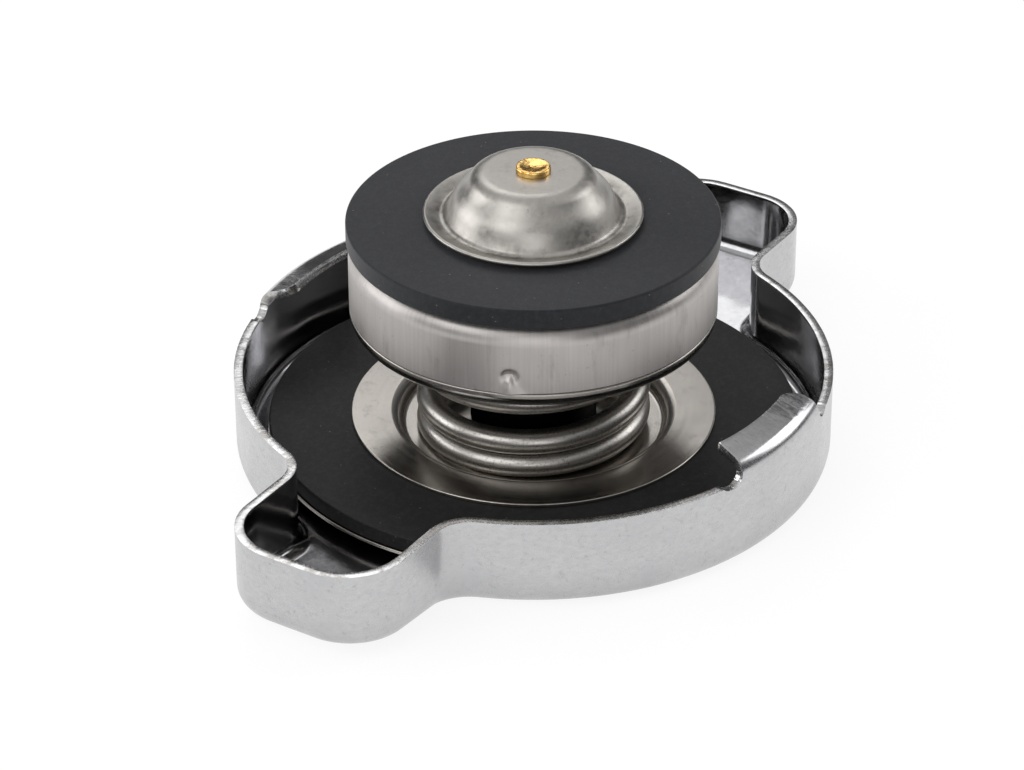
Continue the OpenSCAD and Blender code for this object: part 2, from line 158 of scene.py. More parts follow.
class Shader:
    """A material's node tree, with short calls for the nodes that the finishes share."""

    def __init__(self, name):
        self.material = bpy.data.materials.new(name)
        self.material.use_nodes = True
        self.tree = self.material.node_tree
        self.bsdf = self.tree.nodes["Principled BSDF"]

    def feed(self, socket, value):
        """Sets a socket to a plain value, or joins another node's output to it."""
        if isinstance(value, bpy.types.NodeSocket):
            self.tree.links.new(value, socket)
        else:
            socket.default_value = value

    def node(self, kind, inputs=None, **settings):
        """A new node with its settings made and its inputs fed, by their names or numbers."""
        made = self.tree.nodes.new(kind)
        for key, value in settings.items():
            setattr(made, key, value)
        for key, value in (inputs or {}).items():
            self.feed(made.inputs[key], value)
        return made

    def vector(self, operation, a, b=(0, 0, 0)):
        """A vector made from one or two others, or a vector's length."""
        made = self.node("ShaderNodeVectorMath", {0: a, 1: b}, operation=operation)
        return made.outputs["Value" if operation == "LENGTH" else "Vector"]

    def place(self, scale=(1, 1, 1)):
        """The place on the object in millimetres, times a scale for each axis."""
        where = self.node("ShaderNodeTexCoord").outputs["Object"]
        return self.vector("MULTIPLY", where, [s / MM for s in scale])

    def axes(self):
        """The place on the object as separate X, Y and Z values in millimetres."""
        return self.node("ShaderNodeSeparateXYZ", {0: self.place()}).outputs

    def from_axis(self):
        """The distance from the upright axis in millimetres."""
        return self.vector("LENGTH", self.place((1, 1, 0)))

    def around(self, turn_scale, height_scale):
        """A place that follows the wall round the upright axis, so that a pattern has no seam."""
        way = self.vector("NORMALIZE", self.place((1, 1, 0)))
        wide = self.vector("MULTIPLY", way, [turn_scale] * 3)
        return self.vector("ADD", wide, self.place((0, 0, height_scale)))

    def rings(self):
        """A place that changes only with the distance from the upright axis and with height."""
        both = {"X": self.from_axis(), "Y": self.axes()["Z"]}
        return self.node("ShaderNodeCombineXYZ", both).outputs[0]

    def noise(self, place, scale, detail, rough):
        """A pattern of about this many blots to a millimetre of the place."""
        inputs = {"Vector": place, "Scale": scale, "Detail": detail, "Roughness": rough}
        return self.node("ShaderNodeTexNoise", inputs).outputs["Fac"]

    def spread(self, value, low, high, to_low=0.0, to_high=1.0):
        """The value's range from low to high, stretched to another range and held inside it."""
        inputs = {"Value": value, "From Min": low, "From Max": high, "To Min": to_low, "To Max": to_high}
        return self.node("ShaderNodeMapRange", inputs).outputs["Result"]

    def math(self, operation, a, b=0.0):
        """A value made from one or two others."""
        return self.node("ShaderNodeMath", {0: a, 1: b}, operation=operation).outputs[0]

    def swing(self, middle, *patterns):
        """A value that swings to both sides of a middle, by pairs of a pattern and how far it swings."""
        total = middle
        for pattern, reach in patterns:
            total = self.math("ADD", self.spread(pattern, NOISE_LOW, NOISE_HIGH, -reach, reach), total)
        return total

    def mix(self, share, first, second):
        """A colour between two colours, by a share from 0 to 1."""
        made = self.node("ShaderNodeMix", {"Factor": share}, data_type="RGBA")
        sockets = [s for s in made.inputs if s.type == "RGBA"]
        for socket, value in zip(sockets, (first, second)):
            self.feed(socket, (*value, 1) if isinstance(value, tuple) else value)
        return next(s for s in made.outputs if s.type == "RGBA")

    def stain(self, tone, pattern, low, high, share, colour):
        """The tone, with a colour mixed in up to a share as a pattern rises from low to high."""
        return self.mix(self.spread(pattern, low, high, 0, share), tone, colour)

    def bump(self, height, depth, strength, under=None):
        """A bump whose full height is depth millimetres, over another bump."""
        inputs = {"Strength": strength, "Distance": depth * MM, "Height": height}
        if under is not None:
            inputs["Normal"] = under
        return self.node("ShaderNodeBump", inputs).outputs["Normal"]

    def finish(self, colour, roughness, normal, metallic):
        """The material, with its main inputs fed."""
        inputs = {"Base Color": colour, "Roughness": roughness, "Normal": normal, "Metallic": metallic}
        for key, value in inputs.items():
            self.feed(self.bsdf.inputs[key], value)
        return self.material


def shaded(colour, share):
    """A colour times a share: darker below 1, paler above it."""
    return tuple(c * share for c in colour)


def shell_finish(name, colour, dark, rough, grain_depth, ripple_depth):
    """Plated sheet: grain, pits, rubs and faint ripples, painted shade darkening the lower bend near the
    floor, and tabs worn by the neck.
    """
    s = Shader(name)
    clouds = s.noise(s.place(), 0.12, 4, 0.55)
    grain = s.noise(s.place(), 2.6, 4, 0.6)
    drawn = s.noise(s.place((0.8, 0.8, 1.6)), 1.2, 5, 0.7)
    pits = s.noise(s.place(), 1.6, 3, 0.7)
    rubs = s.noise(s.place((0.6, 0.6, 1.2)), 0.8, 4, 0.75)
    scuffs = s.noise(s.place((0.9, 0.35, 0.9)), 1.1, 5, 0.75)
    ripples = s.noise(s.place(), 0.14, 1, 0.4)
    x, y, z = s.axes()
    # Painted shade: the tone darkens towards the bottom of the sheet, near the floor, in place of the floor's
    # shadow seen in the bend
    lower_bend_shade_fade = s.spread(z, 0.4, 5.0, 1, 0)
    tab_top = s.spread(z, 13.0, 13.4)
    tab_end = s.spread(s.math("MULTIPLY", x, y), -70, 40, 1, 0.15)
    worn = s.math("MULTIPLY", tab_top, tab_end)
    lower_bend_painted_shade = s.math("MULTIPLY", lower_bend_shade_fade, s.spread(clouds, NOISE_LOW, NOISE_HIGH, 0.35, 0.75))
    tone = s.mix(s.spread(drawn, NOISE_LOW, NOISE_HIGH), dark, colour)
    tone = s.stain(tone, clouds, 0.45, 0.75, 0.5, dark)
    # Mixes the painted shade into the lower bend
    tone = s.mix(lower_bend_painted_shade, tone, shaded(dark, 0.74))
    tone = s.mix(s.math("MULTIPLY", worn, s.spread(scuffs, 0.4, 0.56, 1, 0)), tone, shaded(dark, 0.45))
    tone = s.stain(tone, rubs, 0.66, 0.78, 0.5, shaded(dark, 0.7))
    tone = s.stain(tone, pits, 0.58, 0.72, 0.4, shaded(dark, 0.6))
    polish = s.spread(z, 12.2, 13.2, 0, 0.13)
    gloss = s.swing(rough, (clouds, 0.05), (grain, 0.03))
    gloss = s.math("MAXIMUM", s.math("SUBTRACT", gloss, polish), 0.08)
    normal = s.bump(grain, grain_depth, 0.35)
    normal = s.bump(drawn, grain_depth * 1.5, 0.2, normal)
    normal = s.bump(s.math("MULTIPLY", worn, scuffs), 0.25, 0.5, normal)
    normal = s.bump(ripples, ripple_depth, 0.15, normal)
    return s.finish(tone, gloss, normal, 1.0)


def cut_edge_finish():
    """Sheared edge of the sheet: bright, with streaks through its thickness, burrs and brownish wear."""
    s = Shader("sheared_edge")
    streaks = s.noise(s.around(26, 0.5), 1.6, 4, 0.7)
    grain = s.noise(s.place(), 5, 3, 0.6)
    burrs = s.noise(s.place(), 1.6, 3, 0.6)
    worn = s.noise(s.place(), 0.3, 4, 0.7)
    tone = s.mix(s.spread(streaks, 0.28, 0.5), (0.44, 0.43, 0.42), (0.66, 0.66, 0.66))
    tone = s.stain(tone, worn, 0.5, 0.62, 0.6, (0.17, 0.15, 0.13))
    normal = s.bump(grain, 0.01, 0.4)
    normal = s.bump(burrs, 0.05, 0.4, normal)
    normal = s.bump(streaks, 0.03, 0.3, normal)
    return s.finish(tone, s.swing(0.24, (grain, 0.08)), normal, 1.0)


def stainless_finish(name, colour, dark, rough, place, streak, depth, vary=0.04, groove_r=None):
    """Stainless sheet with lines along the place they follow, smudges, and darker patches along a groove at a
    radius.
    """
    s = Shader(name)
    lines = s.noise(place(s), streak, 3, 0.65)
    clouds = s.noise(s.place(), 0.22, 4, 0.55)
    smudges = s.noise(s.place((1, 1, 0.3)), 0.5, 4, 0.7)
    specks = s.noise(s.place(), 2.4, 2, 0.5)
    tone = s.mix(s.spread(lines, 0.32, 0.68), dark, colour)
    tone = s.stain(tone, clouds, 0.5, 0.75, 0.3, dark)
    tone = s.stain(tone, smudges, 0.56, 0.74, 0.5, shaded(dark, 0.6))
    tone = s.stain(tone, specks, 0.70, 0.76, 0.4, shaded(dark, 0.35))
    # Darker brownish patches, mixed in near the groove's radius
    if groove_r:
        away = s.math("ABSOLUTE", s.math("SUBTRACT", s.from_axis(), groove_r))
        patches = s.spread(s.noise(s.place(), 0.45, 4, 0.65), 0.46, 0.66, 0, 0.75)
        groove_darkening = s.math("MULTIPLY", s.spread(away, 0.2, 1.3, 1, 0), patches)
        tone = s.mix(groove_darkening, tone, (0.115, 0.095, 0.08))
    normal = s.bump(lines, depth, 0.3)
    normal = s.bump(clouds, 0.1, 0.06, normal)
    return s.finish(tone, s.swing(rough, (lines, vary), (clouds, 0.03)), normal, 1.0)


def wire_finish():
    """Drawn spring wire: satin, with small pits that break up its highlights."""
    s = Shader("spring_wire")
    pits = s.noise(s.place(), 3.4, 3, 0.6)
    clouds = s.noise(s.place(), 0.5, 3, 0.5)
    tone = s.mix(s.spread(pits, 0.32, 0.46), (0.32, 0.305, 0.285), (0.52, 0.50, 0.47))
    gloss = s.swing(s.spread(pits, 0.3, 0.6, 0.40, 0.30), (clouds, 0.04))
    return s.finish(tone, gloss, s.bump(pits, 0.016, 0.35), 1.0)


def rubber_finish(name, colour, pale, dusting):
    """Moulded rubber: fine grain, mottled bloom, a dusty sheen at low angles, and sparse specks."""
    s = Shader(name)
    grain = s.noise(s.place(), 4.5, 4, 0.65)
    bloom = s.noise(s.place(), 0.12, 4, 0.55)
    mottle = s.noise(s.place(), 1.5, 4, 0.7)
    dust = s.node("ShaderNodeTexVoronoi", {"Vector": s.place(), "Scale": 0.85})
    speck = s.spread(dust.outputs["Distance"], 0.05, 0.1, 1, 0)
    kept = s.spread(s.noise(s.place(), 0.6, 2, 0.5), 0.5, 0.6, 0, 0.6)
    tone = s.mix(s.spread(bloom, 0.35, 0.7), colour, pale)
    tone = s.stain(tone, mottle, 0.45, 0.75, 0.8, shaded(pale, 2))
    tone = s.mix(s.math("MULTIPLY", speck, kept), tone, (0.24, 0.21, 0.19))
    s.bsdf.inputs["Specular IOR Level"].default_value = 0.3
    s.bsdf.inputs["Sheen Weight"].default_value = dusting
    return s.finish(tone, s.swing(0.57, (grain, 0.07)), s.bump(grain, 0.02, 0.4), 0.0)


def brass_finish():
    """Peened brass: small bright facets over a golden colour."""
    s = Shader("brass")
    dents = s.noise(s.place(), 1.7, 2, 0.5)
    tone = s.mix(s.spread(dents, 0.36, 0.56), (0.80, 0.42, 0.10), (1.0, 0.68, 0.25))
    return s.finish(tone, s.swing(0.22, (dents, 0.06)), s.bump(dents, 0.13, 0.5), 1.0)


SHELL = shell_finish("plated_sheet", (0.585, 0.585, 0.59), (0.505, 0.505, 0.515), 0.27, 0.006, 0.3)
SHELL_INSIDE = shell_finish("plated_sheet_inside", (0.60, 0.60, 0.61), (0.50, 0.50, 0.515), 0.15, 0.002, 0.9)
SHEARED = cut_edge_finish()
CUP = stainless_finish(
    "brushed_cup", (0.51, 0.485, 0.47), (0.44, 0.415, 0.40), 0.42,
    lambda s: s.around(70, 0.06), 0.9, 0.006)
TURNED = stainless_finish(
    "turned_stainless", (0.46, 0.435, 0.405), (0.41, 0.385, 0.355), 0.22, Shader.rings, 2.2, 0.004)
PLATE = stainless_finish(
    "vacuum_plate_stainless", (0.52, 0.50, 0.47), (0.455, 0.435, 0.405), 0.39, Shader.place, 1.3, 0.006,
    vary=0.07, groove_r=PLATE_SEAT_R)
# Painted shade: the stanchion tube is given a near-black colour so that the inside of the spring reads as deep
# shade
TUBE_PAINTED_SHADE = stainless_finish(
    "tube_painted_shade_black", (0.014, 0.014, 0.015), (0.008, 0.008, 0.008), 0.5, Shader.rings, 3.0, 0.01)
WIRE = wire_finish()
SEAL = rubber_finish("seal_rubber", (0.0070, 0.0080, 0.0110), (0.0115, 0.0125, 0.0160), 0.17)
GASKET = rubber_finish("gasket_rubber", (0.0095, 0.0095, 0.0100), (0.0140, 0.0140, 0.0145), 0.03)
BRASS = brass_finish()


# Points and profiles

def polar(turn):
    """The direction at an angle in a plane, or round the upright axis."""
    return Vector((math.cos(math.radians(turn)), math.sin(math.radians(turn))))


def spaced(start, end, step):
    """Evenly spaced values from start to end, about a step apart."""
    count = max(1, round(abs(end - start) / step))
    return [start + (end - start) * k / count for k in range(count + 1)]


def steps_to(first, last, count):
    """Evenly spaced points from first, which is left out, to last."""
    return [Vector(first).lerp(Vector(last), k / count) for k in range(1, count + 1)]


def arc(centre, radius, start, end, steps):
    """Points round an arc, with both ends."""
    return [centre + radius * polar(start + (end - start) * k / steps) for k in range(steps + 1)]


def clamp(value):
    """The value, held from 0 to 1."""
    return max(0, min(1, value))


def waver(x, y, *waves):
    """Smooth noise at a point: the sum of waves, each with its height, its length and a seed."""
    return sum(height * noise.noise((x / length, y / length, seed)) for height, length, seed in waves)


def fillet(corners, steps=6, guard=0.04):
    """Closed profile of corners (radius out, height, rounding), with a point on the flat beside each round."""
    out = []
    for i, (r, z, rounding) in enumerate(corners):
        here = Vector((r, z))
        if rounding <= 0:
            out.append(here)
            continue
        back = (Vector(corners[i - 1][:2]) - here).normalized()
        ahead = (Vector(corners[(i + 1) % len(corners)][:2]) - here).normalized()
        half = back.angle(ahead) / 2
        cut = rounding / math.tan(half)
        centre = here + (back + ahead).normalized() * rounding / math.sin(half)
        first, last = here + back * cut - centre, here + ahead * cut - centre
        start = math.degrees(math.atan2(first.y, first.x))
        sweep = (math.degrees(math.atan2(last.y, last.x)) - start + 180) % 360 - 180
        out.append(here + back * (cut + guard))
        out += arc(centre, rounding, start, start + sweep, steps)
        out.append(here + ahead * (cut + guard))
    return out


def denser(profile, longest, below=math.inf):
    """The same closed profile, with points added so that no length under a height is longer than this."""
    out = []
    for i, p in enumerate(profile):
        q = profile[(i + 1) % len(profile)]
        parts = math.ceil((q - p).length / longest) if min(p.y, q.y) < below else 1
        out += [p.lerp(q, k / parts) for k in range(parts)]
    return out


# Meshes

def lathe(profile, segments=288):
    """Points and faces of a closed profile turned round the upright axis; points on the axis become poles."""
    verts, rings, faces = [], [], []
    ways = [polar(360 * k / segments) for k in range(segments)]
    for r, z in profile:
        if r < 1e-6:
            rings.append([len(verts)] * segments)
            verts.append((0, 0, z))
        else:
            rings.append(list(range(len(verts), len(verts) + segments)))
            verts += [(r * way.x, r * way.y, z) for way in ways]
    for i, b in enumerate(rings):
        a = rings[i - 1]
        for k in range(segments):
            j = (k + 1) % segments
            corners = list(dict.fromkeys((a[k], a[j], b[j], b[k])))
            if len(corners) > 2:
                faces.append(corners)
    return verts, faces


def make(name, verts, faces, body, slot, materials, *nodes):
    """A piece made of millimetre points, which stands for CAD nodes and rides on their body."""
    mesh = bpy.data.meshes.new(name)
    mesh.from_pydata([tuple(c * MM for c in v) for v in verts], [], faces)
    mesh.polygons.foreach_set("use_smooth", [True] * len(mesh.polygons))
    form = bmesh.new()
    form.from_mesh(mesh)
    bmesh.ops.recalc_face_normals(form, faces=form.faces)
    form.to_mesh(mesh)
    form.free()
    piece = bpy.data.objects.new(name, mesh)
    bpy.context.scene.collection.objects.link(piece)
    for material in materials:
        mesh.materials.append(material)
    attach(piece, body)
    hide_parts(*nodes)
    return piece


def turned(name, corners, body, slot, material, node):
    """A piece turned from the corners of its closed profile."""
    return make(name, *lathe(fillet(corners)), body, slot, [material], node)


# Shell: one sheet that runs from the rivet hole over the dish and the rolled edge to the rim and the tabs

NECK_Y = EAR_HALF_W + EAR_NECK_R
NECK_TURN = math.degrees(math.asin(NECK_Y / (BODY_R + EAR_NECK_R)))
NECK_X = (BODY_R + EAR_NECK_R) * math.cos(math.radians(NECK_TURN))
TIP_X = EAR_TIP - EAR_TIP_R
TIP_Y = EAR_HALF_W - EAR_TIP_R
RELIEF_TURN = TAB_HALF_SPAN + math.degrees(math.asin(RELIEF_R / BODY_R))
WALL_MID_Z = 9
CUT_ROUND = 0.13

# What a place on the outline carries: a plain cut edge, the fillet at a tab's foot, or a tab
PLAIN, FOOT, TAB = range(3)
Place = namedtuple("Place", "point way kind edge_z turn")


def rim_height(point):
    """The cut edge's height, which wavers a little as a trimmed edge does."""
    return RIM_Z + waver(point.x, point.y, (0.05, 4, 3), (0.02, 1, 7))


def ear_places():
    """Places round the ear on the +X side, from one neck to the other."""
    def place(point, way):
        return Place(point, way, PLAIN, rim_height(point), 0)

    def curve(centre, radius, start, end, side):
        return [place(Vector(centre) + radius * polar(a), side * polar(a)) for a in spaced(start, end, 4)]

    def line(first, last, way):
        return [place(point, Vector(way)) for point in steps_to(first, last, 8)[:-1]]

    return [
        *curve((NECK_X, -NECK_Y), EAR_NECK_R, 180 - NECK_TURN, 90, -1),
        *line((NECK_X, -EAR_HALF_W), (TIP_X, -EAR_HALF_W), (0, -1)),
        *curve((TIP_X, -TIP_Y), EAR_TIP_R, -90, 0, 1),
        *line((EAR_TIP, -TIP_Y), (EAR_TIP, TIP_Y), (1, 0)),
        *curve((TIP_X, TIP_Y), EAR_TIP_R, 0, 90, 1),
        *line((TIP_X, EAR_HALF_W), (NECK_X, EAR_HALF_W), (0, 1)),
        *curve((NECK_X, NECK_Y), EAR_NECK_R, 270, 180 + NECK_TURN, -1),
    ]


def notch_places(side, place):
    """Places over the relief cut at one end of a tab, from the tab outwards: a fillet, then the cut."""
    level = math.degrees(math.asin((RELIEF_MID_Z - RIM_Z) / RELIEF_R))
    fillet_turns, cut_turns = spaced(0, level, 5)[1:], spaced(level, 180 - level, 6)[1:]
    out = []
    for a in fillet_turns + cut_turns:
        across = -RELIEF_R * math.cos(math.radians(a))
        turn = side * (RELIEF_TURN + math.degrees(math.asin(across / BODY_R)))
        edge_z = RELIEF_MID_Z - RELIEF_R * math.sin(math.radians(a)) + waver(a / 20, turn, (0.06, 1, 5))
        out.append(place(turn, FOOT if a in fillet_turns else PLAIN, edge_z))
    return out


def side_places():
    """Places along the body's long side on the +Y side, with its tab and the relief cuts beside it."""
    middle = 90 - TAB_LAG

    def place(turn, kind=PLAIN, edge_z=None):
        way = polar(middle + turn)
        point = BODY_R * way
        return Place(point, way, kind, rim_height(point) if edge_z is None else edge_z, turn)

    corner = [
        math.degrees(TAB_CORNER_R * (1 - math.cos(math.radians(a))) / TAB_IN_R) for a in spaced(0, 90, 9)
    ]
    tab_turns = spaced(-TAB_HALF_SPAN, TAB_HALF_SPAN - corner[-1], 0.5)[:-1]
    tab_turns += [TAB_HALF_SPAN - c for c in reversed(corner)]
    tab = [place(turn, TAB, RELIEF_MID_Z) for turn in tab_turns]
    before, after = notch_places(-1, place)[::-1], notch_places(1, place)
    lead = [place(t) for t in spaced(NECK_TURN - middle, before[0].turn, 0.9)[1:-1]]
    trail = [place(t) for t in spaced(after[-1].turn, 180 - NECK_TURN - middle, 0.9)[1:-1]]
    return lead + before + tab + after + trail


def tab_reach(turn):
    """Width of a tab, which is less along its rounded corner."""
    from_end = math.radians(TAB_HALF_SPAN - turn) * TAB_IN_R
    if from_end >= TAB_CORNER_R:
        return TAB_W
    return TAB_W - TAB_CORNER_R + math.sqrt(max(0, TAB_CORNER_R ** 2 - (TAB_CORNER_R - from_end) ** 2))


def fold_turn(height):
    """The angle round a tab's fold at a height on its outer face."""
    return math.degrees(math.asin((height - TAB_FOOT_Z) / TAB_BEND_R))


def fold_point(turn):
    """Inset and height on a tab's outer face at an angle round its fold."""
    return Vector((TAB_BEND_R, TAB_FOOT_Z)) + TAB_BEND_R * polar(180 - turn)


def foot_point(height):
    """Inset and height on a tab's upright foot and the start of its fold."""
    return Vector((0, height)) if height <= TAB_FOOT_Z else fold_point(fold_turn(height))


def tab_rows(place):
    """Insets and heights up a tab's foot, and then round its fold to its inner edge."""
    foot_top = max(RIM_Z, place.edge_z)
    foot = [foot_point(RIM_Z + (foot_top - RIM_Z) * k / 5) for k in range(1, 6)]
    first = fold_turn(RELIEF_MID_Z)
    fold = [fold_point(first + (TAB_FOLD - first) * k / 9) for k in range(1, 10)]
    run = tab_reach(place.turn) - fold[-1].x
    slope = 1 / math.tan(math.radians(TAB_FOLD))
    return foot, fold + steps_to(fold[-1], fold[-1] + run * Vector((1, slope)), 5)


def hub_rows():
    """Radii and heights from the rivet hole over the dish to the crown's flat ring."""
    ring_r, bend_r = 17.2, 1.6
    dish = fillet([
        (SHELL_HOLE_R, DISH_DEPTH, 0), (DISH_FLAT_R, DISH_DEPTH, bend_r), (DISH_R, 0, bend_r), (ring_r, 0, 0),
        (ring_r, -1, 0), (SHELL_HOLE_R, -1, 0),
    ])
    return [Vector((r, DISH_DEPTH)) for r in (SHELL_HOLE_R, 5, 9)] + dish[1:-2]


def shell_column(hub, place):
    """Points up the sheet's outer face at a place, in three runs: to the rim, a tab's foot, and its fold."""
    roll_foot = place.point - EDGE_R * place.way
    way = roll_foot.normalized()
    lift = EAR_LIFT * max(0, roll_foot.length - CROWN_FLAT_R) / EAR_REACH
    crown = hub + [Vector((r, 0)) for r in spaced(hub[-1].x, CROWN_FLAT_R - 1, 4.5)[1:]]
    crown += steps_to(crown[-1], (roll_foot.length, lift), 5)[:-1]
    wall = [Vector((EDGE_R, EDGE_R + lift)) - EDGE_R * polar(a) for a in spaced(90, 0, 7.5)]
    wall += steps_to(wall[-1], (0, WALL_MID_Z), 5)
    wall += steps_to(wall[-1], (0, min(RIM_Z, place.edge_z)), 5)
    wall, foot, fold = (
        [(*(place.point - p.x * place.way), p.y) for p in run] for run in (wall, *tab_rows(place))
    )
    return [(*(way * p.x), p.y) for p in crown] + wall, foot, fold


def shell_sheet():
    """Points and faces of the sheet's outer face, with open notches and with tabs grown from the rim."""
    half = ear_places() + side_places()
    places = half + [p._replace(point=-p.point, way=-p.way) for p in half]
    hub = hub_rows()
    columns = [shell_column(hub, place) for place in places]
    ends = list(accumulate(len(run) for run in columns[0]))  # rows up to the rim, a foot and a fold
    size = ends[-1]
    faces = []
    for k, place in enumerate(places):
        j = (k + 1) % len(places)
        last = ends[min(place.kind, places[j].kind)]
        faces += [(k * size + i, j * size + i, j * size + i + 1, k * size + i + 1) for i in range(last - 1)]
    return [point for column in columns for run in column for point in run], faces


def thicken(piece):
    """Gives the sheet its thickness inwards, with rounded cut edges, and fixes that as the mesh."""
    form = bmesh.new()
    form.from_mesh(piece.data)
    bmesh.ops.delete(form, geom=[v for v in form.verts if not v.link_faces], context="VERTS")
    bmesh.ops.remove_doubles(form, verts=form.verts, dist=0.002 * MM)
    lowest = min(form.faces, key=lambda f: f.calc_center_median().z)
    if lowest.normal.z > 0:
        bmesh.ops.reverse_faces(form, faces=form.faces)
    form.to_mesh(piece.data)
    form.free()
    solid = piece.modifiers.new("thickness", "SOLIDIFY")
    solid.thickness = SHEET_T * MM
    solid.offset = -1
    solid.use_even_offset = True
    solid.material_offset = 1
    solid.material_offset_rim = 2
    edge = piece.modifiers.new("edges", "BEVEL")
    edge.width = CUT_ROUND * MM
    edge.segments = 2
    edge.limit_method = "ANGLE"
    edge.angle_limit = math.radians(50)
    made = bpy.data.meshes.new_from_object(piece.evaluated_get(bpy.context.evaluated_depsgraph_get()))
    piece.modifiers.clear()
    piece.data = made


shell = make("shell_sheet", *shell_sheet(), "cap", "shell_metal", [SHELL, SHELL_INSIDE, SHEARED], "cap_shell")
thicken(shell)


# Turned and drawn pieces: each corner is (radius out, height, rounding)

RIVET_Z = DISH_DEPTH - 0.9
RIVET_TOP_Z = TUBE_FLOOR_Z + 1.2
HEAD_CHAMFER, UPSET_CHAMFER = 0.45, 0.6

turned("rivet", [
    (0, RIVET_Z, 0), (RIVET_HEAD_R - HEAD_CHAMFER, RIVET_Z, 0.25),
    (RIVET_HEAD_R, RIVET_Z + HEAD_CHAMFER, 0.25), (RIVET_HEAD_R, DISH_DEPTH, 0.05),
    (RIVET_R, DISH_DEPTH, 0.05), (RIVET_R, TUBE_FLOOR_Z, 0.05),
    (RIVET_UPSET_R, TUBE_FLOOR_Z, 0.1), (RIVET_UPSET_R, RIVET_TOP_Z - UPSET_CHAMFER, 0.25),
    (RIVET_UPSET_R - UPSET_CHAMFER, RIVET_TOP_Z, 0.25), (0, RIVET_TOP_Z, 0),
], "carrier", "stainless", TURNED, "centre_rivet")
turned("disc", [
    (CARRIER_HOLE_R, DISC_Z, 0.08), (DISC_R, DISC_Z, 0.12),
    (DISC_R, GASKET_Z, 0.12), (CARRIER_HOLE_R, GASKET_Z, 0.08),
], "carrier", "stainless", TURNED, "spring_disc")
turned("gasket", [
    (GASKET_HOLE_R, GASKET_Z, 0.2), (GASKET_R, GASKET_Z, 0.2),
    (GASKET_R, GASKET_TOP_Z, 0.22), (GASKET_HOLE_R, GASKET_TOP_Z, 0.22),
], "carrier", "rubber", GASKET, "upper_gasket")
turned("seat", [
    (CARRIER_HOLE_R, GASKET_Z, 0.1), (RECESS_R + SEAT_T, GASKET_Z, 1.0),
    (RECESS_R + SEAT_T, GASKET_TOP_Z, 0.8), (SEAT_R, GASKET_TOP_Z, 0.12),
    (SEAT_R, GASKET_TOP_Z + SEAT_T, 0.16), (RECESS_R, GASKET_TOP_Z + SEAT_T, 1.3),
    (RECESS_R, SEAT_FLOOR_Z, 0.5), (CARRIER_HOLE_R, SEAT_FLOOR_Z, 0.1),
], "carrier", "stainless", TURNED, "spring_seat")
# The tube's near-black colour is painted shade
turned("tube", [
    (CARRIER_HOLE_R, SEAT_FLOOR_Z, 0.1), (TUBE_R, SEAT_FLOOR_Z, 0.9),
    (TUBE_R, LIP_Z, 0.3), (LIP_R, LIP_Z, 0.15),
    (LIP_R, LIP_Z + TUBE_T, 0.15), (TUBE_R - TUBE_T, LIP_Z + TUBE_T, 0.9),
    (TUBE_R - TUBE_T, TUBE_FLOOR_Z, 0.3), (CARRIER_HOLE_R, TUBE_FLOOR_Z, 0.1),
], "carrier", "dark_steel", TUBE_PAINTED_SHADE, "stanchion")
turned("pan", [
    (PAN_HOLE_R, PAN_Z, 0.1), (CUP_R, PAN_Z, 1.3),
    (CUP_R, CUP_Z, 0.14), (PAN_R, CUP_Z, 0),
    (PAN_R, CUP_Z + PAN_GRIP, 0.12), (PAN_R - PAN_T, CUP_Z + PAN_GRIP, 0.12),
    (PAN_R - PAN_T, LIP_Z, 0.8), (PAN_HOLE_R, LIP_Z, 0.1),
], "pressure_valve", "stainless", TURNED, "retainer_plate")
turned("seal", [
    (SEAL_HOLE_R, CUP_FACE_Z, 0.2), (SEAL_R, CUP_FACE_Z, 0.25),
    (SEAL_R, SEAL_TOP_Z, 0.25), (SEAL_HOLE_R, SEAL_TOP_Z, 0.2),
], "pressure_valve", "rubber", SEAL, "pressure_seal")
turned("washer", [
    (STEM_HOLE_R, WASHER_Z, 0.08), (WASHER_R, WASHER_Z, 0.12),
    (WASHER_R, LIGHT_FOOT_Z, 0.12), (STEM_HOLE_R, LIGHT_FOOT_Z, 0.08),
], "vacuum_valve", "stainless", TURNED, "vacuum_washer")


def crimp(verts, turn):
    """Stakes the cup's wall once: a dent with a bulge under it that widens down to the lower edge."""
    reach, wall_r = 4, 19.5
    dent_depth, dent_half_w, dent_top, dent_foot, dent_fade = 0.5, 0.8, 2.7, 2.35, 0.75
    lip_curve, lip_fade = 0.3, 0.14
    bulge_depth, bulge_top, bulge_fade = 0.34, 2.3, 0.6
    bulge_half_w, bulge_spread, spread_top = 0.45, 0.75, 2.0
    out = []
    for x, y, z in verts:
        r = math.hypot(x, y)
        across = math.radians((math.degrees(math.atan2(y, x)) - turn + 180) % 360 - 180) * r
        up = z - CUP_Z
        if r > wall_r and abs(across) < reach and up < reach:
            lip = 1 / (1 + math.exp((up - dent_top + lip_curve * across ** 2) / lip_fade))
            foot = math.exp(-(max(0, dent_foot - up) / dent_fade) ** 2)
            dent = math.exp(-(across / dent_half_w) ** 4) * lip * foot
            width = bulge_half_w + bulge_spread * max(0, 1 - up / spread_top) ** 2
            bulge = math.exp(-(across / width) ** 2) * clamp((bulge_top - up) / bulge_fade)
            scale = (r - dent_depth * dent + bulge_depth * bulge) / r
            x, y = x * scale, y * scale
        out.append((x, y, z))
    return out


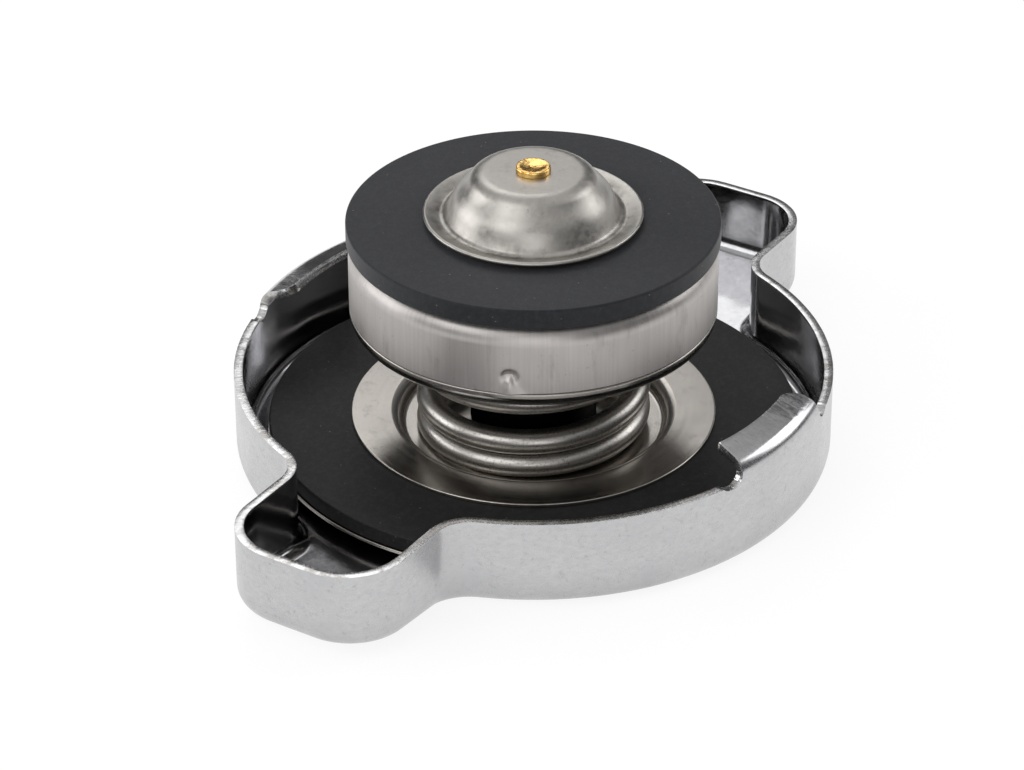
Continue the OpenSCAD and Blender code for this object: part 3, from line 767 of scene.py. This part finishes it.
def cup():
    """The drawn cup, with a fine mesh in its lower wall for the crimps."""
    profile = fillet([
        (STEM_GUIDE_R, LIGHT_TOP_Z, 0.1), (CUP_IN_R, LIGHT_TOP_Z, CUP_SHOULDER_R - CUP_T),
        (CUP_IN_R, CUP_Z, 0.12), (CUP_R, CUP_Z, 0.18),
        (CUP_R, CUP_FACE_Z, CUP_SHOULDER_R), (STEM_GUIDE_R, CUP_FACE_Z, 0.1),
    ], steps=10)
    fine, fine_below, segments = 0.2, 25, 640
    verts, faces = lathe(denser(profile, fine, fine_below), segments)
    for k in range(CRIMP_COUNT):
        verts = crimp(verts, CRIMP_START + 360 / CRIMP_COUNT * k)
    return verts, faces


def brim_nick(point):
    """Pushes a point near the brim in or out a little, as the nicked edge of thin sheet is."""
    x, y, z = point
    r = math.hypot(x, y)
    share = max(0, r - PLATE_BRIM_R + 0.75)
    scale = 1 + share * (waver(x, y, (0.05, 1, 1), (0.05, 1 / 3, 2)) - 0.03) / r
    return x * scale, y * scale, z


def plate():
    """The hat-shaped vacuum plate: flat top, cone, the bend that touches the seal, and the turned-up brim."""
    half, swell, slope, brim = PLATE_T / 2, 0.3, PLATE_SLOPE, PLATE_BRIM_ANGLE
    foot = Vector((PLATE_SEAT_R, SEAL_TOP_Z + PLATE_FOOT_BEND + half))
    low = foot + PLATE_FOOT_BEND * polar(270 - slope)
    bend_z = PLATE_TOP_Z - half - PLATE_TOP_BEND
    rise = bend_z + PLATE_TOP_BEND * math.cos(math.radians(slope)) - low.y
    run = rise / math.tan(math.radians(slope))
    flat = Vector((low.x - run - PLATE_TOP_BEND * math.sin(math.radians(slope)), bend_z))
    brim_low = foot + PLATE_FOOT_BEND * polar(270 + brim)
    edge = brim_low + (PLATE_BRIM_R - half - brim_low.x) / math.cos(math.radians(brim)) * polar(brim)
    profile = denser([
        Vector((STEM_HOLE_R, PLATE_TOP_Z)),
        *arc(flat, PLATE_TOP_BEND + half, 90, 90 - slope, 14),
        *arc(foot, PLATE_FOOT_BEND - half, 270 - slope, 270 + brim, 14),
        *arc(edge, half, brim + 90, brim - 90, 8),
        *arc(foot, PLATE_FOOT_BEND + half, 270 + brim, 270 - slope, 14),
        *arc(flat, PLATE_TOP_BEND - half, 90 - slope, 90, 14),
        Vector((STEM_HOLE_R, PLATE_TOP_Z - PLATE_T)),
    ], 0.6)
    out = polar(90 - slope)
    high = flat + PLATE_TOP_BEND * out
    for p in profile:
        share = clamp((high - p).dot(high - low) / (high - low).length_squared)
        p += swell * math.sin(math.pi * share) ** 2 * out
    verts, faces = lathe(profile)
    return [brim_nick(v) for v in verts], faces


def stem():
    """The brass stem, with a hollow in its head and a peened lower end."""
    hollow_r, hollow_depth, lip_r, foot_z = 1.46, 0.2, 1.6, WASHER_Z - STEM_PEEN_T
    ball_r = (hollow_r ** 2 + hollow_depth ** 2) / (2 * hollow_depth)
    ball_z = STEM_TOP_Z - hollow_depth + ball_r
    hollow_radii = spaced(hollow_r, 0, hollow_r / 10)
    hollow = [Vector((r, ball_z - math.sqrt(ball_r ** 2 - r ** 2))) for r in hollow_radii]
    profile = fillet([
        (0, foot_z, 0), (STEM_HEAD_R, foot_z, 0.15), (STEM_HEAD_R, WASHER_Z, 0.05), (STEM_R, WASHER_Z, 0.05),
        (STEM_R, PLATE_TOP_Z, 0.05), (STEM_HEAD_R, PLATE_TOP_Z, 0.08), (STEM_HEAD_R, STEM_TOP_Z, 0.2),
        (lip_r, STEM_TOP_Z, 0),
    ])
    return lathe(profile + hollow, 128)


make("cup", *cup(), "pressure_valve", "stainless", [CUP], "valve_cup")
make("plate", *plate(), "vacuum_valve", "stainless", [PLATE], "vacuum_plate")
make("stem", *stem(), "vacuum_valve", "brass", [BRASS], "vacuum_stem")


# Springs

def coil(radius, wire, foot_z, height, turns, start=0.0, steps=96, sides=28):
    """Points and faces of a coil spring with closed end coils that are ground flat."""
    pitch = wire + COIL_GAP
    open_rise = height - wire - turns * pitch
    total = turns + 2 * GROUND_TURN
    count = math.ceil(total * steps)
    verts, faces = [], []
    for k in range(count + 1):
        turn = total * k / count - GROUND_TURN
        share = clamp((turn - 1) / (turns - 2))
        middle = wire / 2 + pitch * turn + open_rise * share * share * (3 - 2 * share)
        way = polar(start + 360 * turn)
        for i in range(sides):
            spot = wire / 2 * polar(360 * i / sides)
            verts.append((*(way * (radius + spot.x)), foot_z + max(0, min(height, middle + spot.y))))
    for k in range(count):
        for i in range(sides):
            j = (i + 1) % sides
            faces.append((k * sides + i, (k + 1) * sides + i, (k + 1) * sides + j, k * sides + j))
    faces += [list(range(sides)), list(range(len(verts) - sides, len(verts)))]
    return verts, faces


def sharpen(piece, angle):
    """Keeps edges sharper than an angle from being shaded smooth."""
    form = bmesh.new()
    form.from_mesh(piece.data)
    for edge in form.edges:
        edge.smooth = len(edge.link_faces) == 2 and edge.calc_face_angle() < math.radians(angle)
    form.to_mesh(piece.data)
    form.free()


main_coil = make(
    "main_coil", *coil(SPRING_R, SPRING_WIRE, SEAT_FLOOR_Z, SPRING_H, SPRING_TURNS, SPRING_START),
    "carrier", "spring_steel", [WIRE], "pressure_spring")
light_coil = make(
    "light_coil", *coil(LIGHT_R, LIGHT_WIRE, LIGHT_FOOT_Z, LIGHT_H, LIGHT_TURNS, steps=64, sides=14),
    "pressure_valve", "spring_steel", [WIRE], "vacuum_spring")
for piece in (main_coil, light_coil):
    sharpen(piece, 35)
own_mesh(main_coil)
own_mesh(light_coil)


# Floor, light and camera, in metres

def floor():
    """A pale floor that shows white to the eye and in reflections, and still takes the object's shadow."""
    half, height = 4, -0.0001
    corners = ((-half, -half), (half, -half), (half, half), (-half, half))
    mesh = bpy.data.meshes.new("floor")
    mesh.from_pydata([(x, y, height) for x, y in corners], [], [(0, 1, 2, 3)])
    plane = bpy.data.objects.new("floor", mesh)
    bpy.context.scene.collection.objects.link(plane)
    s = Shader("pale_floor")
    s.tree.nodes.remove(s.bsdf)
    lit = s.node("ShaderNodeBsdfDiffuse", {"Color": (0.8, 0.8, 0.8, 1)})
    shadow = s.node("ShaderNodeBsdfDiffuse", {"Color": (0.22, 0.22, 0.22, 1)})
    white = s.node("ShaderNodeEmission", {"Color": (1, 1, 1, 1), "Strength": 0.84})
    both = s.node("ShaderNodeAddShader", {0: shadow.outputs[0], 1: white.outputs[0]})
    path = s.node("ShaderNodeLightPath").outputs
    seen = s.math("MAXIMUM", path["Is Camera Ray"], path["Is Glossy Ray"])
    seen = s.math("MAXIMUM", seen, path["Is Transmission Ray"])
    pick = s.node("ShaderNodeMixShader", {0: seen, 1: lit.outputs[0], 2: both.outputs[0]})
    s.feed(s.tree.nodes["Material Output"].inputs["Surface"], pick.outputs[0])
    mesh.materials.append(s.material)
    plane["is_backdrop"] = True


def softbox(name, place, size, power):
    """A square area lamp that faces the cap's middle."""
    middle = Vector((0, 0, 0.015))
    lamp = bpy.data.lights.new(name, "AREA")
    lamp.shape = "SQUARE"
    lamp.size = size
    lamp.energy = power
    made = bpy.data.objects.new(name, lamp)
    made.location = place
    made.rotation_euler = (middle - Vector(place)).to_track_quat("-Z", "Y").to_euler()
    bpy.context.scene.collection.objects.link(made)


def world():
    """Soft grey surroundings, dark near the horizon and brighter overhead."""
    made = bpy.data.worlds.new("studio")
    made.use_nodes = True
    tree = made.node_tree
    sky = tree.nodes["Background"]
    where = tree.nodes.new("ShaderNodeTexCoord")
    parts = tree.nodes.new("ShaderNodeSeparateXYZ")
    ramp = tree.nodes.new("ShaderNodeValToRGB")
    low, high = ramp.color_ramp.elements
    low.position, low.color = 0.36, (0.07, 0.07, 0.073, 1)
    high.position, high.color = 0.85, (0.62, 0.62, 0.62, 1)
    tree.links.new(where.outputs["Generated"], parts.inputs[0])
    tree.links.new(parts.outputs["Z"], ramp.inputs[0])
    tree.links.new(ramp.outputs[0], sky.inputs["Color"])
    sky.inputs["Strength"].default_value = 1.0
    bpy.context.scene.world = made


def camera():
    """The photograph's camera, with its focal length in pixels of a frame 1024 wide."""
    focal_px, frame_px, sensor, roll = 4000, 1024, 36, 0.21
    place = Vector((-0.3315, -0.2083, 0.2444))
    ahead = Vector((0.7217, 0.4598, -0.5174)).normalized()
    lens = bpy.data.cameras.new("camera")
    lens.sensor_width = sensor
    lens.lens = focal_px / frame_px * sensor
    lens.clip_start = 0.01
    level = ahead.cross(Vector((0, 0, 1))).normalized()
    right = Matrix.Rotation(math.radians(roll), 3, ahead) @ level
    up = right.cross(ahead)
    made = bpy.data.objects.new("camera", lens)
    turn = Matrix((right, up, -ahead)).transposed()
    made.matrix_world = Matrix.Translation(place) @ turn.to_4x4()
    bpy.context.scene.collection.objects.link(made)
    bpy.context.scene.camera = made


floor()
world()
softbox("left_box", (-0.666, 0.178, 0.579), 0.62, 2.0)
softbox("right_box", (0.626, -0.489, 0.4225), 0.45, 1.45)
softbox("back_box", (0.457, 0.442, 0.636), 0.45, 1.0)
softbox("front_box", (-0.76, -0.48, 0.2), 0.6, 1.6)
softbox("side_box", (-0.332, 0.822, 0.19), 0.6, 3.0)
camera()
bpy.context.scene.view_settings.view_transform = "Standard"

[[list(corner) for corner in box] for box in (cad_box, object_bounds())]
